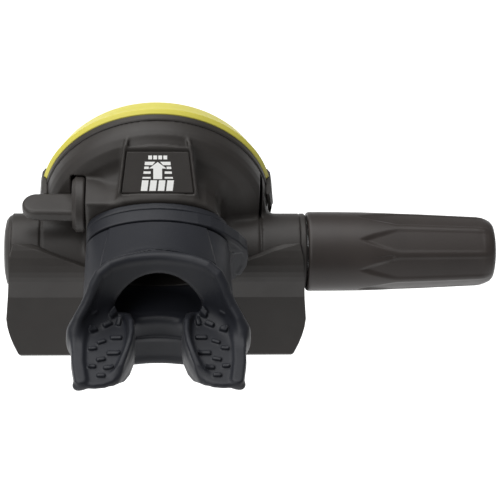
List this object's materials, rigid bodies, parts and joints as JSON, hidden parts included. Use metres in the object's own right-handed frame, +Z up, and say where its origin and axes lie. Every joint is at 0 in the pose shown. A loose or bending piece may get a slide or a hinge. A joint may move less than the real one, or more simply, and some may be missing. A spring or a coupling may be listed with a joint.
{
  "type": "scuba regulator second stage",
  "caption": "Demand regulator held in the mouth: drum with purge cover, side valve barrel with hose sleeve, exhaust tee, venturi lever and silicone mouthpiece.",
  "frame": {"origin": "centre of the mouthpiece's air hole, where the diver's mouth holds the part", "axes": "+X along the valve barrel towards the hose, +Y forward away from the diver, +Z up"},
  "size_m": [0.1573, 0.1005, 0.0759],
  "materials": {
    "case_black": "fine moulded grain, matte",
    "cover_yellow": "smooth moulded, satin",
    "silicone_black": "soft matte silicone, slightly blue",
    "sleeve_rubber": "moulded rubber, satin",
    "membrane": "smooth silicone",
    "seal_black": "smooth rubber",
    "chrome": "bright plating",
    "steel": "drawn and pressed steel",
    "brass": "turned brass",
    "inner_plastic": "smooth moulded",
    "print_white": "flat white print"
  },
  "bodies": {
    "root": {"case_shell": "case_black", "label_plate": "case_black", "cover_ring": "case_black", "front_cover": "cover_yellow", "purge_spring": "steel", "diaphragm": "membrane", "valve_barrel": "chrome", "orifice": "brass", "orifice_oring": "seal_black", "poppet_spring": "steel", "barrel_plug": "brass", "barrel_plug_oring": "seal_black", "barrel_end_cap": "case_black", "inlet_collar": "case_black", "exhaust_valve": "membrane", "exhaust_tee": "case_black", "mouthpiece": "silicone_black", "mouthpiece_tie": "silicone_black", "swivel_nut": "chrome"},
    "button": {"purge_button": "case_black"},
    "disc": {"diaphragm_disc": "inner_plastic"},
    "lever": {"demand_lever": "steel"},
    "poppet": {"poppet": "inner_plastic", "lp_seat": "seal_black", "poppet_washer": "steel", "poppet_locknut": "steel"},
    "venturi": {"venturi_knob": "case_black", "venturi_shaft": "inner_plastic", "venturi_oring": "seal_black", "venturi_vane": "inner_plastic"},
    "hose_end": {"hose_fitting": "chrome", "fitting_oring": "seal_black", "hose_ferrule": "chrome", "hose_protector": "sleeve_rubber"}
  },
  "joints": [
    {"name": "purge_press", "type": "slide", "parent": "root", "child": "button", "axis": [0, -1, 0], "range_m": [0, 0.0025], "stiffness_N_per_m": 300, "springref_m": -0.002, "deforming": ["purge_spring"]},
    {"name": "diaphragm_stroke", "type": "slide", "parent": "root", "child": "disc", "axis": [0, -1, 0], "range_m": [0, 0.0025], "deforming": ["diaphragm"]},
    {"name": "lever_pivot", "type": "hinge", "parent": "root", "child": "lever", "pos_m": [-0.0125, 0.0445, -0.022], "axis": [0, 0, -1], "range_deg": [0, 10.8]},
    {"name": "poppet_lift", "type": "slide", "parent": "root", "child": "poppet", "axis": [-1, 0, 0], "range_m": [0, 0.00075], "deforming": ["poppet_spring"]},
    {"name": "venturi_turn", "type": "hinge", "parent": "root", "child": "venturi", "pos_m": [-0.024, 0.0404, -0.0004], "axis": [1, 0, 0], "range_deg": [0, 70]},
    {"name": "hose_swivel", "type": "hinge", "parent": "root", "child": "hose_end", "pos_m": [0.06, 0.041, -0.022], "axis": [1, 0, 0], "continuous": true}
  ],
  "couplings": [
    {"joint": "diaphragm_stroke", "follows": "purge_press", "ratio": 1},
    {"joint": "lever_pivot", "follows": "purge_press", "rad_per_m": 75},
    {"joint": "poppet_lift", "follows": "purge_press", "ratio": 0.3}
  ]
}
